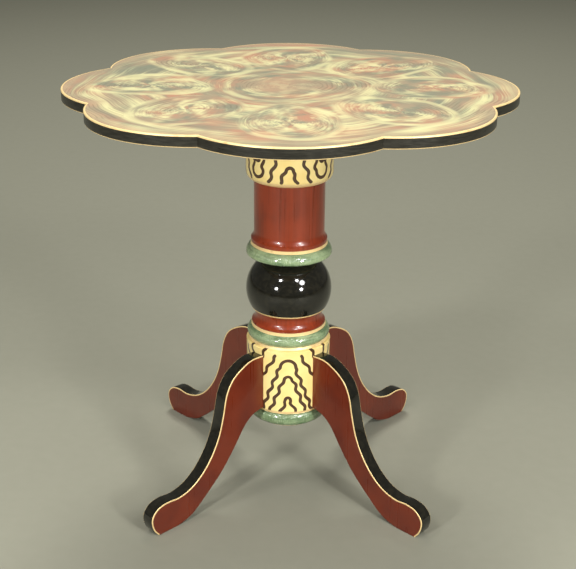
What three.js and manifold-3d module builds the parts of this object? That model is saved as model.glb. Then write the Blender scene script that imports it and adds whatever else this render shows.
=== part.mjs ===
// Tilt-top table: a scalloped top on a turned, sectioned column with four sawn S-curve legs.
// Millimetres, +Z up. The origin is on the floor, on the column's axis.
// The top turns up about two pivot pins near the front of the block (-Y), and a sliding bolt at the back (+Y)
// locks it level; the bolt is drawn back here. The lobes lie on the axes and the legs on the diagonals.
import * as THREE from "three";
import { mergeVertices } from "three/addons/utils/BufferGeometryUtils.js";
import Module from "manifold-3d";

const wasm = await Module();
wasm.setup();

// ---------------------------------------------------------------- driving dimensions
const GAP = 0.3; // between pieces that touch or are let into each other
const TURNED_SIDES = 36; // facets round a turned section
const SMALL_SIDES = 16; // facets round a rod, pin or washer
const SCREW_SIDES = 8;

const HEIGHT = 740;
const TOP = { thick: 19, lobes: 8, lobeCentre: 210.8, lobeRadius: 176.7, arris: 1.2, arcSteps: 10 };
const UNDERSIDE = HEIGHT - TOP.thick;

// Heights of the faces where one turned section sits on the next, from the floor up.
const FACE = {
  baseRing: 121,
  drum: 155,
  lowerRing: 277,
  collar: 309,
  ball: 338,
  upperRing: 437,
  shaft: 465,
  capital: 579,
  block: 678,
};
const DRUM_R = 76.8;
const CAPITAL_R = 77;
const CAPITAL_ROUND = 15.5;
const SHAFT_R = 62.6;
const BALL = { radius: 77.4, flattened: 0.93, centre: 373, neckR: 44 };
const COVE_R = 60;

const ROD = { radius: 8, bottom: 124, top: 718, lowerThread: 4, upperThread: 2 };
const BORE_R = ROD.radius + GAP;
const NUT = { acrossFlats: 24, thick: 13 };
const WASHER = { radius: 17, thick: 3 };
const POCKET_R = WASHER.radius + 1;
const LOWER_NUT_Z = ROD.bottom + ROD.lowerThread;
const UPPER_WASHER_Z = ROD.top - ROD.upperThread - NUT.thick - WASHER.thick;

const LEG = { thick: 25.4, bottom: 160, top: 263, footInner: 284, footOuter: 327 };
const DOVETAIL = { rootHalf: 6, tipHalf: 8.5, depth: 13, from: 162, to: 250 };

const PIVOT = { y: -58, z: UNDERSIDE - 22, pinRadius: 7, from: 46, to: 108 };
const BLOCK = { halfX: 80, halfY: 79.7, top: UNDERSIDE - GAP };
const BATTEN = { inner: 81, width: 26, depth: 38, halfLength: 215, taperFrom: 160, tipDepth: 14 };

const CATCH = {
  halfX: 10,
  flangeHalfX: 26,
  front: 84,
  back: 144,
  channelBack: 128,
  flange: 2.5,
  bottom: UNDERSIDE - 19,
};
const BOLT = {
  halfX: 6,
  bottom: UNDERSIDE - 16,
  top: UNDERSIDE - 10,
  tip: 83,
  back: 120,
  travel: 11,
  bevel: 4,
  play: 1.5,
};
const KNOB = { y: 110, stemRadius: 2.5, headRadius: 6, headTop: CATCH.bottom - 2, length: 12 };
const LEAF = { halfX: 4.5, thick: 0.5, rise: 1.2, front: 92, back: 124 };
const KEEPER = { halfX: 18, bottom: 686, top: 718, thick: 2 };

const BATTEN_SCREW = { head: 4.5, shank: 2.2, length: 40, headZ: UNDERSIDE - 30, at: [-145, 30, 145] };
const CATCH_SCREW = { head: 3.2, shank: 1.5, length: 11, x: 20, at: [92, 136] };
const KEEPER_SCREW = { head: 2.6, shank: 1.4, length: 14, x: 12, z: 693 };
const BLOCK_SCREW = { head: 5, shank: 2.5, length: 64, at: 44, sunk: 1 };
const SCREW_RIM = 0.6; // the straight edge of a countersunk head

// ---------------------------------------------------------------- paints and metals
const finish = (color, roughness, metalness = 0) =>
  new THREE.MeshStandardMaterial({ color, roughness, metalness });
const MARBLED = finish(0xb9a98a, 0.3);
const RED = finish(0x7c2a18, 0.35);
const BLACK = finish(0x14120f, 0.15);
const GREEN = finish(0x6f9a72, 0.3);
const CREAM = finish(0xe9d28a, 0.35);
const TIMBER = finish(0x8a5a34, 0.6);
const BRASS = finish(0xb08d45, 0.35, 1);
const STEEL = finish(0x8d9094, 0.4, 1);

// ---------------------------------------------------------------- solids
// A closed geometry as a solid that can be joined and cut.
function solidOf(geometry) {
  const bare = geometry.index ? geometry.toNonIndexed() : geometry.clone();
  bare.deleteAttribute("normal");
  bare.deleteAttribute("uv");
  const merged = mergeVertices(bare, 1e-3);
  return new wasm.Manifold(
    new wasm.Mesh({
      numProp: 3,
      vertProperties: merged.attributes.position.array,
      triVerts: new Uint32Array(merged.index.array),
    }),
  );
}

// The solid's faces as a geometry for a mesh.
function geometryOf(solid) {
  const { vertProperties, triVerts } = solid.getMesh();
  const geometry = new THREE.BufferGeometry()
    .setAttribute("position", new THREE.BufferAttribute(vertProperties, 3))
    .setIndex(new THREE.BufferAttribute(triVerts, 1))
    .toNonIndexed();
  geometry.computeVertexNormals();
  return geometry;
}

const cut = (body, ...tools) =>
  geometryOf(tools.reduce((left, tool) => left.subtract(solidOf(tool)), solidOf(body)));
const join = (a, b) => geometryOf(solidOf(a).add(solidOf(b)));

// ---------------------------------------------------------------- shapes used more than once
const points = (pairs) => pairs.map(([u, v]) => new THREE.Vector2(u, v));

// Points [radius, height] along a circular arc, angles in degrees from outwards, up being 90.
function arc(r, z, radius, from, to, steps) {
  return Array.from({ length: steps + 1 }, (_, i) => {
    const a = THREE.MathUtils.degToRad(from + ((to - from) * i) / steps);
    return [r + radius * Math.cos(a), z + radius * Math.sin(a)];
  });
}

// A solid of revolution about Z whose outline starts and ends on the axis, going upwards.
function turned(outline, sides) {
  return new THREE.LatheGeometry(points(outline), sides).rotateX(Math.PI / 2);
}

// A turned column section with the tie rod's bore through it. The outline is the outside, from the bottom up.
function section(outside) {
  const bottom = outside[0][1];
  const top = outside[outside.length - 1][1];
  return turned([[BORE_R, bottom], ...outside, [BORE_R, top], [BORE_R, bottom]], TURNED_SIDES);
}

const cylinder = (radius, z0, z1, sides) =>
  turned([[0, z0], [radius, z0], [radius, z1], [0, z1]], sides);

const boxBetween = (x0, x1, y0, y1, z0, z1) =>
  new THREE.BoxGeometry(x1 - x0, y1 - y0, z1 - z0).translate((x0 + x1) / 2, (y0 + y1) / 2, (z0 + z1) / 2);

// An outline in the YZ plane, extruded from x0 to x1.
function extrudedAlongX(outline, x0, x1) {
  const sideways = new THREE.Matrix4().makeBasis(
    new THREE.Vector3(0, 1, 0),
    new THREE.Vector3(0, 0, 1),
    new THREE.Vector3(1, 0, 0),
  );
  return new THREE.ExtrudeGeometry(new THREE.Shape(points(outline)), { depth: x1 - x0, bevelEnabled: false })
    .applyMatrix4(sideways)
    .translate(x0, 0, 0);
}

// A rod along X between x0 and x1, centred on y and z.
const rodAlongX = (radius, x0, x1, y, z) =>
  cylinder(radius, x0, x1, SMALL_SIDES).rotateY(Math.PI / 2).translate(0, y, z);

// A countersunk wood screw standing on its head at z = 0, with its point up.
function woodScrew({ head, shank, length }) {
  const taper = shank * 2;
  return turned(
    [
      [0, 0], [head, 0], [head, SCREW_RIM],
      [shank, head - shank + SCREW_RIM], [shank, length - taper], [0, length],
    ],
    SCREW_SIDES,
  );
}

// The hole that a wood screw needs: its own shape, a little wider and longer, with a well below the head.
function screwHole({ head, shank, length }, well) {
  const h = head + GAP;
  const s = shank + GAP;
  return turned(
    [
      [0, -well], [h, -well], [h, SCREW_RIM],
      [s, head - shank + SCREW_RIM + GAP], [s, length + GAP], [0, length + GAP],
    ],
    SCREW_SIDES,
  );
}

// ---------------------------------------------------------------- the scene graph
const table = new THREE.Group();
function add(name, geometry, material, parent = table) {
  const mesh = new THREE.Mesh(geometry, material);
  mesh.name = name;
  parent.add(mesh);
  return mesh;
}

// ---------------------------------------------------------------- the turned column
// A round bead between two faces: a circular arc set out from the column, with short flats at its ends.
const bead = (bottom, top, centreR, radius, from, to) => {
  const outline = arc(centreR, (bottom + top) / 2, radius, from, to, 7);
  return [[outline[0][0], bottom], ...outline.slice(1, -1), [outline[outline.length - 1][0], top]];
};

function drumSection() {
  let drum = section([[DRUM_R, FACE.drum], [DRUM_R, FACE.lowerRing]]);
  for (const angle of legAngles) {
    drum = cut(drum, dovetail(GAP, FACE.drum - 1, DOVETAIL.to + GAP).rotateZ(angle));
  }
  return drum;
}

function buildColumn() {
  const baseRing = bead(FACE.baseRing, FACE.drum, 56.2, 17.3, -76, 66);
  const pocketTop = LOWER_NUT_Z + NUT.thick + WASHER.thick;
  const pocket = cylinder(POCKET_R, FACE.baseRing - 1, pocketTop, SMALL_SIDES);
  add("base_ring", cut(section(baseRing), pocket), GREEN);

  add("leg_drum", drumSection(), CREAM);
  add("lower_ring", section(bead(FACE.lowerRing, FACE.collar, 58, 16.6, -72, 58)), GREEN);

  const collarCove = [
    [67, FACE.collar], [62.6, FACE.collar + 5.5], [COVE_R, FACE.collar + 12],
    [COVE_R, FACE.ball - 11], [63, FACE.ball - 5], [66.3, FACE.ball],
  ];
  add("red_collar", section(collarCove), RED);

  const lowest = Math.asin((FACE.ball - BALL.centre) / (BALL.radius * BALL.flattened));
  const highest = Math.acos(BALL.neckR / BALL.radius);
  const round = arc(
    0, 0, BALL.radius,
    THREE.MathUtils.radToDeg(lowest), THREE.MathUtils.radToDeg(highest), 9,
  ).map(([r, z]) => [r, BALL.centre + z * BALL.flattened]);
  add("ball", section([...round, [BALL.neckR, FACE.upperRing]]), BLACK);

  add("upper_ring", section(bead(FACE.upperRing, FACE.shaft, 62.8, 14.4, -80, 60)), GREEN);

  const flaredShaft = [
    [68.2, FACE.shaft], [66.2, FACE.shaft + 5], [64, FACE.shaft + 11],
    [SHAFT_R, FACE.shaft + 19], [SHAFT_R, FACE.capital],
  ];
  add("red_shaft", section(flaredShaft), RED);

  const underRound = arc(CAPITAL_R - CAPITAL_ROUND, FACE.capital + CAPITAL_ROUND, CAPITAL_ROUND, -84, 0, 6);
  underRound[0][1] = FACE.capital;
  const blockScrewHoles = blockScrewPlaces().map(([x, y]) => blockScrewHole().translate(x, y, 0));
  add("capital", cut(section([...underRound, [CAPITAL_R, FACE.block]]), ...blockScrewHoles), CREAM);
}

// ---------------------------------------------------------------- the tie rod that clamps the sections
// A disc of any number of sides standing on z, bored for the tie rod.
const boredDisc = (radius, z, thick, sides) =>
  cut(cylinder(radius, z, z + thick, sides), cylinder(BORE_R, z - 1, z + thick + 1, SMALL_SIDES));
const hexNut = (z) => boredDisc(NUT.acrossFlats / Math.sqrt(3), z, NUT.thick, 6);
const washer = (z) => boredDisc(WASHER.radius, z, WASHER.thick, SMALL_SIDES);

function buildTieRod() {
  add("tie_rod", cylinder(ROD.radius, ROD.bottom, ROD.top, SMALL_SIDES), STEEL);
  add("lower_nut", hexNut(LOWER_NUT_Z), STEEL);
  add("lower_washer", washer(LOWER_NUT_Z + NUT.thick), STEEL);
  add("upper_washer", washer(UPPER_WASHER_Z), STEEL);
  add("upper_nut", hexNut(UPPER_WASHER_Z + WASHER.thick), STEEL);
}

// ---------------------------------------------------------------- the legs
const legAngles = [45, 135, 225, 315].map(THREE.MathUtils.degToRad);
const legNames = ["leg_back_right", "leg_back_left", "leg_front_left", "leg_front_right"];

// The leg's edges, [distance from the axis, height]: over the knee to the toe, and back underneath.
const LEG_UPPER = [
  [70, LEG.top], [103, 264], [130, 254], [152, 238], [166, 213], [174, 178],
  [184, 143], [200, 111], [223, 83], [250, 64], [279, 56], [305, 57.5],
  [325, 54], [338, 43], [341.5, 30], [337, 13], [LEG.footOuter, 0],
];
const LEG_LOWER = [
  [LEG.footInner, 0], [262, 5], [243, 14], [210, 39.5], [177, 69],
  [147, 105], [122, 138], [100, 154], [70, LEG.bottom],
];

// The dovetail key that slides up into the drum, lying along +X and grown by a clearance.
function dovetail(clearance, from, to) {
  const root = DRUM_R + 4;
  const tip = DRUM_R - DOVETAIL.depth - clearance;
  const widen = (DOVETAIL.tipHalf - DOVETAIL.rootHalf) / DOVETAIL.depth;
  const rootHalf = DOVETAIL.rootHalf - 4 * widen + clearance;
  const tipHalf = DOVETAIL.tipHalf + clearance;
  const plan = points([[root, -rootHalf], [root, rootHalf], [tip, tipHalf], [tip, -tipHalf]]);
  return new THREE.ExtrudeGeometry(new THREE.Shape(plan), { depth: to - from, bevelEnabled: false })
    .translate(0, 0, from);
}

function legGeometry() {
  const upper = new THREE.SplineCurve(points(LEG_UPPER)).getPoints(30);
  const lower = new THREE.SplineCurve(points(LEG_LOWER)).getPoints(14);
  const outline = new THREE.Shape([...upper, ...lower]);
  const board = new THREE.ExtrudeGeometry(outline, { depth: LEG.thick, bevelEnabled: false })
    .rotateX(Math.PI / 2)
    .translate(0, LEG.thick / 2, 0);
  // The shoulder is coped to the drum, whose facets stay inside this one.
  const coping = cylinder((DRUM_R + GAP) / Math.cos(Math.PI / TURNED_SIDES), 0, HEIGHT, TURNED_SIDES);
  return join(cut(board, coping), dovetail(0, DOVETAIL.from, DOVETAIL.to));
}

function buildLegs() {
  const geometry = legGeometry();
  legAngles.forEach((angle, i) => {
    add(legNames[i], geometry, RED).rotation.z = angle;
  });
}

// ---------------------------------------------------------------- the block that the top turns on
const blockScrewPlaces = () =>
  [[1, 1], [-1, 1], [-1, -1], [1, -1]].map(([sx, sy]) => [sx * BLOCK_SCREW.at, sy * BLOCK_SCREW.at]);

// A block screw goes in from the top, so it hangs head up, just under the block's upper face.
const pointDown = (geometry) => geometry.rotateX(Math.PI).translate(0, 0, BLOCK.top - BLOCK_SCREW.sunk);
const blockScrewHole = () => pointDown(screwHole(BLOCK_SCREW, 3));

const boltWindow = (y0, y1) =>
  boxBetween(
    -BOLT.halfX - BOLT.play, BOLT.halfX + BOLT.play,
    y0, y1,
    BOLT.bottom - BOLT.play, BOLT.top + BOLT.play,
  );
const keeperScrewPlaces = [-KEEPER_SCREW.x, KEEPER_SCREW.x];
// Keeper screws go in from the back, level with the plate's face.
const pointForward = (geometry, x) => geometry.rotateX(Math.PI / 2).translate(x, BLOCK.halfY, KEEPER_SCREW.z);

function buildBlock() {
  const roundedFront = arc(PIVOT.y, PIVOT.z, BLOCK.top - PIVOT.z, 90, 180, 8);
  const profile = [
    [-BLOCK.halfY, FACE.block], [BLOCK.halfY, FACE.block], [BLOCK.halfY, BLOCK.top], ...roundedFront,
  ];
  const body = extrudedAlongX(profile, -BLOCK.halfX, BLOCK.halfX);
  const pinHole = (x0, x1) => rodAlongX(PIVOT.pinRadius + GAP, x0, x1, PIVOT.y, PIVOT.z);
  const keeperRecess = boxBetween(
    -KEEPER.halfX - GAP, KEEPER.halfX + GAP,
    BLOCK.halfY - KEEPER.thick - GAP, BLOCK.halfY + 1,
    KEEPER.bottom - GAP, KEEPER.top + GAP,
  );
  const tools = [
    cylinder(BORE_R, FACE.block - 1, BLOCK.top + 1, SMALL_SIDES),
    cylinder(POCKET_R, UPPER_WASHER_Z, BLOCK.top + 1, SMALL_SIDES),
    pinHole(PIVOT.from - 1, BLOCK.halfX + 1),
    pinHole(-BLOCK.halfX - 1, 1 - PIVOT.from),
    keeperRecess,
    boltWindow(BOLT.tip - BOLT.travel - 3, BLOCK.halfY),
    ...blockScrewPlaces().map(([x, y]) => blockScrewHole().translate(x, y, 0)),
    ...keeperScrewPlaces.map((x) => pointForward(screwHole(KEEPER_SCREW, 1), x)),
  ];
  add("tilt_block", cut(body, ...tools), TIMBER);

  blockScrewPlaces().forEach(([x, y], i) => {
    add(`block_screw_${i + 1}`, pointDown(woodScrew(BLOCK_SCREW)), STEEL).position.set(x, y, 0);
  });
  add("pivot_pin_right", rodAlongX(PIVOT.pinRadius, PIVOT.from, PIVOT.to, PIVOT.y, PIVOT.z), STEEL);
  add("pivot_pin_left", rodAlongX(PIVOT.pinRadius, -PIVOT.to, -PIVOT.from, PIVOT.y, PIVOT.z), STEEL);
}

function buildKeeper() {
  const plate = boxBetween(
    -KEEPER.halfX, KEEPER.halfX, BLOCK.halfY - KEEPER.thick, BLOCK.halfY, KEEPER.bottom, KEEPER.top,
  );
  const tools = [
    boltWindow(BLOCK.halfY - KEEPER.thick - 1, BLOCK.halfY + 1),
    ...keeperScrewPlaces.map((x) => pointForward(screwHole(KEEPER_SCREW, 1), x)),
  ];
  add("keeper_plate", cut(plate, ...tools), BRASS);
  keeperScrewPlaces.forEach((x, i) => {
    add(`keeper_screw_${i + 1}`, pointForward(woodScrew(KEEPER_SCREW), x), BRASS);
  });
}

// ---------------------------------------------------------------- the scalloped top and its battens
function scallopedOutline() {
  const half = Math.PI / TOP.lobes;
  // Where neighbouring lobes meet, on the line half way between their centres.
  const inwards = TOP.lobeCentre * Math.sin(half);
  const cusp = TOP.lobeCentre * Math.cos(half) + Math.sqrt(TOP.lobeRadius ** 2 - inwards ** 2);
  const sweep = Math.atan2(cusp * Math.sin(half), cusp * Math.cos(half) - TOP.lobeCentre);
  const outline = [];
  for (let lobe = 0; lobe < TOP.lobes; lobe++) {
    const facing = lobe * 2 * half;
    const x = TOP.lobeCentre * Math.cos(facing);
    const y = TOP.lobeCentre * Math.sin(facing);
    for (let i = 0; i < TOP.arcSteps; i++) {
      const a = facing - sweep + (2 * sweep * i) / TOP.arcSteps;
      outline.push([x + TOP.lobeRadius * Math.cos(a), y + TOP.lobeRadius * Math.sin(a)]);
    }
  }
  return outline;
}

const battenScrewPlaces = (side) =>
  BATTEN_SCREW.at.map((y) => [side * (BATTEN.inner + BATTEN.width / 2), y, BATTEN_SCREW.headZ]);
const catchScrewPlaces = CATCH_SCREW.at.flatMap((y) =>
  [-CATCH_SCREW.x, CATCH_SCREW.x].map((x) => [x, y, UNDERSIDE - CATCH.flange - SCREW_RIM]),
);
const moved = (geometry, place) => geometry.translate(...place);

function buildTop() {
  const slab = new THREE.ExtrudeGeometry(new THREE.Shape(points(scallopedOutline())), {
    depth: TOP.thick - 2 * TOP.arris,
    bevelThickness: TOP.arris,
    bevelSize: TOP.arris,
    bevelOffset: -TOP.arris,
    bevelSegments: 1,
  }).translate(0, 0, UNDERSIDE + TOP.arris);
  const battenHoles = [...battenScrewPlaces(-1), ...battenScrewPlaces(1)];
  const holes = [
    ...battenHoles.map((place) => moved(screwHole(BATTEN_SCREW, 1), place)),
    ...catchScrewPlaces.map((place) => moved(screwHole(CATCH_SCREW, 0), place)),
  ];
  add("table_top", cut(slab, ...holes), MARBLED);
}

function buildBatten(name, side) {
  const low = UNDERSIDE - BATTEN.depth;
  const tip = UNDERSIDE - BATTEN.tipDepth;
  const profile = [
    [-BATTEN.halfLength, UNDERSIDE], [-BATTEN.halfLength, tip], [-BATTEN.taperFrom, low],
    [BATTEN.taperFrom, low], [BATTEN.halfLength, tip], [BATTEN.halfLength, UNDERSIDE],
  ];
  const x0 = side > 0 ? BATTEN.inner : -BATTEN.inner - BATTEN.width;
  const body = extrudedAlongX(profile, x0, x0 + BATTEN.width);
  const pinHole = rodAlongX(PIVOT.pinRadius + GAP, x0 - 1, x0 + BATTEN.width + 1, PIVOT.y, PIVOT.z);
  const well = BATTEN_SCREW.headZ - low + 1;
  const screwHoles = battenScrewPlaces(side).map((place) => moved(screwHole(BATTEN_SCREW, well), place));
  add(name, cut(body, pinHole, ...screwHoles), TIMBER);
  battenScrewPlaces(side).forEach((place, i) => {
    add(`${name}_screw_${i + 1}`, woodScrew(BATTEN_SCREW), STEEL).position.set(...place);
  });
}

// ---------------------------------------------------------------- the catch under the top
function buildCatch() {
  const flange = boxBetween(
    -CATCH.flangeHalfX, CATCH.flangeHalfX, CATCH.front, CATCH.back, UNDERSIDE - CATCH.flange, UNDERSIDE,
  );
  const box = boxBetween(-CATCH.halfX, CATCH.halfX, CATCH.front, CATCH.back - 4, CATCH.bottom, UNDERSIDE - 1);
  const channel = boxBetween(
    -BOLT.halfX - GAP, BOLT.halfX + GAP,
    CATCH.front - 1, CATCH.channelBack,
    BOLT.bottom - GAP, BOLT.top + LEAF.rise + LEAF.thick + 3 * GAP,
  );
  const stemSlot = boxBetween(
    -KNOB.stemRadius - GAP, KNOB.stemRadius + GAP,
    KNOB.y - BOLT.travel - KNOB.stemRadius - 1, KNOB.y + KNOB.stemRadius + 1,
    CATCH.bottom - 1, BOLT.bottom,
  );
  const screwHoles = catchScrewPlaces.map((place) => moved(screwHole(CATCH_SCREW, 1), place));
  add("catch_case", cut(join(flange, box), channel, stemSlot, ...screwHoles), BRASS);
  catchScrewPlaces.forEach((place, i) => {
    add(`catch_screw_${i + 1}`, woodScrew(CATCH_SCREW), BRASS).position.set(...place);
  });

  // The bolt's nose is bevelled underneath, so that the falling top can push it back.
  const boltSide = [
    [BOLT.tip + BOLT.bevel, BOLT.bottom], [BOLT.back, BOLT.bottom], [BOLT.back, BOLT.top],
    [BOLT.tip, BOLT.top], [BOLT.tip, BOLT.bottom + BOLT.bevel],
  ];
  add("catch_bolt", extrudedAlongX(boltSide, -BOLT.halfX, BOLT.halfX), BRASS);

  const { headRadius, headTop, stemRadius, length } = KNOB;
  const knob = [
    [0, headTop - length], [headRadius * 0.6, headTop - length * 0.93],
    [headRadius, headTop - length * 0.67], [headRadius, headTop - length * 0.42],
    [stemRadius, headTop], [stemRadius, BOLT.bottom], [0, BOLT.bottom],
  ];
  add("catch_knob", turned(knob, SMALL_SIDES), BRASS).position.y = KNOB.y;

  add("bolt_leaf_spring", leafGeometry(), STEEL);
}

// A bowed strip between the bolt and the roof of its channel, which keeps the bolt where it is put.
function leafGeometry() {
  const low = BOLT.top + GAP;
  const middle = (LEAF.front + LEAF.back) / 2;
  const bow = (y) => LEAF.rise * (1 - ((y - middle) / (LEAF.back - middle)) ** 2);
  const stations = Array.from({ length: 9 }, (_, i) => LEAF.front + ((LEAF.back - LEAF.front) * i) / 8);
  const under = stations.map((y) => [y, low + bow(y)]);
  const over = stations.map((y) => [y, low + LEAF.thick + bow(y)]).reverse();
  return extrudedAlongX([...under, ...over], -LEAF.halfX, LEAF.halfX);
}

buildColumn();
buildTieRod();
buildLegs();
buildBlock();
buildKeeper();
buildTop();
buildBatten("batten_right", 1);
buildBatten("batten_left", -1);
buildCatch();

export default table;
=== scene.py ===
# %% [markdown]
# # A painted tilt-top table
# The table is a turned column of stacked sections, four sawn legs, and a scalloped top that turns
# up on a block. Every section is painted differently: marbled, combed, brushed or lacquered, with
# thin gold lines between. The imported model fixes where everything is, so each piece here is made in
# place, in metres, and looks better than the plain solid that it stands for.

# %% Load the frame
import math

import bmesh
import bpy
from mathutils import Euler, Matrix, Vector, kdtree


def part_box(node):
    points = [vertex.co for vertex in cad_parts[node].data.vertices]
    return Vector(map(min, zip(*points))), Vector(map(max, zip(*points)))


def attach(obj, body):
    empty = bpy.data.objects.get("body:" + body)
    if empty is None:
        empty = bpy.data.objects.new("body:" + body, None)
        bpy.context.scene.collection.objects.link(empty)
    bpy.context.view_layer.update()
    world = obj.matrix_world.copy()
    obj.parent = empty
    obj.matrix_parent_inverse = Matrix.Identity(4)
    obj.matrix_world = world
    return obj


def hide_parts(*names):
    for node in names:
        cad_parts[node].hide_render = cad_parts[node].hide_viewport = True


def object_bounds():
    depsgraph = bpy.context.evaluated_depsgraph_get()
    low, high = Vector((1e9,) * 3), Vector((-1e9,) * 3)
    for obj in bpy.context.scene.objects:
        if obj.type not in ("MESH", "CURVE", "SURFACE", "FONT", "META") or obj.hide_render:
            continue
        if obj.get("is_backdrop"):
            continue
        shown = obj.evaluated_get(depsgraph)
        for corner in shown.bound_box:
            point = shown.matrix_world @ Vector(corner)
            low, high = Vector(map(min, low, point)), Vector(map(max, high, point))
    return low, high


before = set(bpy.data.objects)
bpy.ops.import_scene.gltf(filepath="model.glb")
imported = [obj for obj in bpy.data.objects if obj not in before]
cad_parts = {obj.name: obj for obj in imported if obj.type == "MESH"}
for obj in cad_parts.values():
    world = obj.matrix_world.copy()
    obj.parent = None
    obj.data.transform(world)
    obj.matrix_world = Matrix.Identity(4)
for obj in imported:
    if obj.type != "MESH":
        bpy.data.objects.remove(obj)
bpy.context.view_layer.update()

MM = 0.001
WELD = 1e-6  # m, vertices closer than this are one

# %% [markdown]
# ## Shader maths that reads like maths
# A finish is a web of nodes. Wired one by one, a formula takes a page, so `Value` wraps a node's
# output and lets Python's own operators add the Math nodes. `Finish.node` adds any other node from
# its type, its settings and its inputs. Settings come first, because some of them change which
# sockets a node has.

# %% Values and finishes
class Value:
    """An output of a shader node that Python can do arithmetic on."""

    def __init__(self, finish, socket):
        self.finish, self.socket = finish, socket

    def math(self, operation, other=0.0):
        return self.finish.node("ShaderNodeMath", {"operation": operation}, {0: self, 1: other})

    def __add__(self, other):
        return self.math("ADD", other)

    def __sub__(self, other):
        return self.math("SUBTRACT", other)

    def __rsub__(self, other):
        return self.finish.node("ShaderNodeMath", {"operation": "SUBTRACT"}, {0: other, 1: self})

    def __mul__(self, other):
        return self.math("MULTIPLY", other)

    def __truediv__(self, other):
        return self.math("DIVIDE", other)

    __radd__ = __add__
    __rmul__ = __mul__


class Finish:
    """A material under construction, with one Principled shader."""

    def __init__(self, name):
        self.material = bpy.data.materials.new(name)
        self.material.use_nodes = True
        self.tree = self.material.node_tree
        self.shader = self.tree.nodes["Principled BSDF"]

    def node(self, kind, settings, inputs, output=0):
        made = self.tree.nodes.new(kind)
        for name, value in settings.items():
            setattr(made, name, value)
        self.fill(made, inputs)
        return Value(self, made.outputs[output])

    def fill(self, node, inputs):
        for name, value in inputs.items():
            if isinstance(value, Value):
                self.tree.links.new(value.socket, node.inputs[name])
            else:
                node.inputs[name].default_value = value

    def paint(self, inputs):
        """Sets the shader's sockets, prints the finish's size and returns the material."""
        self.fill(self.shader, inputs)
        print("finish", self.material.name, "has", len(self.tree.nodes), "nodes")
        return self.material

    def place(self):
        return self.node("ShaderNodeTexCoord", {}, {}, "Object")

    def split(self, vector):
        return [self.node("ShaderNodeSeparateXYZ", {}, {0: vector}, i) for i in range(3)]

    def joined(self, x, y, z):
        return self.node("ShaderNodeCombineXYZ", {}, {0: x, 1: y, 2: z})

    def stretched(self, vector, factors):
        return self.node("ShaderNodeVectorMath", {"operation": "MULTIPLY"}, {0: vector, 1: factors})

    def noise(self, vector, scale=1.0, detail=2.0, output="Fac"):
        inputs = {"Vector": vector, "Scale": scale, "Detail": detail}
        return self.node("ShaderNodeTexNoise", {}, inputs, output)

    def rise(self, value, low, high):
        """0 below low, 1 above high, and smooth between."""
        inputs = {"Value": value, "From Min": low, "From Max": high}
        return self.node("ShaderNodeMapRange", {"interpolation_type": "SMOOTHSTEP"}, inputs)

    def mix(self, share, below, above):
        """The colour below, covered by the colour above as far as share says."""
        inputs = {0: share, 6: colour(below), 7: colour(above)}
        return self.node("ShaderNodeMix", {"data_type": "RGBA"}, inputs, 2)

    def bump(self, height, depth):
        inputs = {"Height": height, "Strength": 1.0, "Distance": depth}
        return self.node("ShaderNodeBump", {}, inputs, "Normal")


def colour(value):
    """A colour socket takes four numbers; a Value passes as it is."""
    return value if isinstance(value, Value) else (*value, 1.0)


# %% [markdown]
# ## The lacquers
# The red is brushed on thinly, so the bristles leave soft streaks that run up the column. The legs
# are darker and almost free of streaks, so one function makes both reds. The black is rubbed and
# varnished until it mirrors the room, with only a faint orange-peel ripple, and the edge of the top
# has a duller black of its own. The gold lines are bronze powder in varnish: partly metallic, and
# not polished. A painted picture could give the same colours, but noise in Object coordinates needs
# no unwrapping and stays sharp from any distance.

# %% Red, black and gold
def brushed_red(name, streaky, deep, warm):
    f = Finish(name)
    place = f.place()
    streaks = f.noise(f.stretched(place, (190, 190, 6)), detail=3)
    clouds = f.noise(place, scale=14, detail=3)
    share = f.rise(streaks * streaky + clouds * (1 - streaky), 0.34, 0.66)
    return f.paint({
        "Base Color": f.mix(share, deep, warm),
        "Roughness": 0.24 + streaks * 0.1,
        "Coat Weight": 0.4,
        "Coat Roughness": 0.05,
        "Normal": f.bump(streaks, 0.005 * MM),
    })


def black_gloss():
    f = Finish("black_gloss_lacquer")
    place = f.place()
    peel = f.noise(place, scale=140, detail=1)
    dust = f.noise(place, scale=900, detail=1)
    return f.paint({
        "Base Color": f.mix(f.rise(peel, 0.4, 0.7), (0.007, 0.0065, 0.0045), (0.014, 0.0125, 0.008)),
        "Roughness": 0.07 + f.rise(dust, 0.62, 0.72) * 0.12,
        "Coat Weight": 0.25,
        "Coat Roughness": 0.03,
        "Normal": f.bump(peel, 0.06 * MM),
    })


def black_edge():
    f = Finish("black_edge_paint")
    place = f.place()
    rubbed = f.noise(f.stretched(place, (60, 60, 500)), detail=4)
    return f.paint({
        "Base Color": f.mix(f.rise(rubbed, 0.35, 0.7), (0.011, 0.010, 0.007), (0.026, 0.024, 0.017)),
        "Roughness": 0.2 + rubbed * 0.25,
        "Normal": f.bump(rubbed, 0.08 * MM),
    })


def gold_paint():
    f = Finish("gold_line_paint")
    place = f.place()
    powder = f.noise(place, scale=1500, detail=2)
    thin = f.noise(place, scale=60, detail=2)
    worn = f.rise(thin, 0.55, 0.8)
    return f.paint({
        "Base Color": f.mix(worn, (0.93, 0.68, 0.32), (0.70, 0.45, 0.18)),
        "Metallic": 0.3 - worn * 0.15,
        "Roughness": 0.3 + powder * 0.2,
        "Normal": f.bump(powder, 0.03 * MM),
    })


COLUMN_RED = brushed_red("column_red_lacquer", 0.45, (0.165, 0.020, 0.004), (0.27, 0.034, 0.007))
LEG_RED = brushed_red("leg_red_lacquer", 0.03, (0.105, 0.011, 0.003), (0.15, 0.018, 0.004))
BLACK, BLACK_EDGE, GOLD = black_gloss(), black_edge(), gold_paint()

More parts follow.
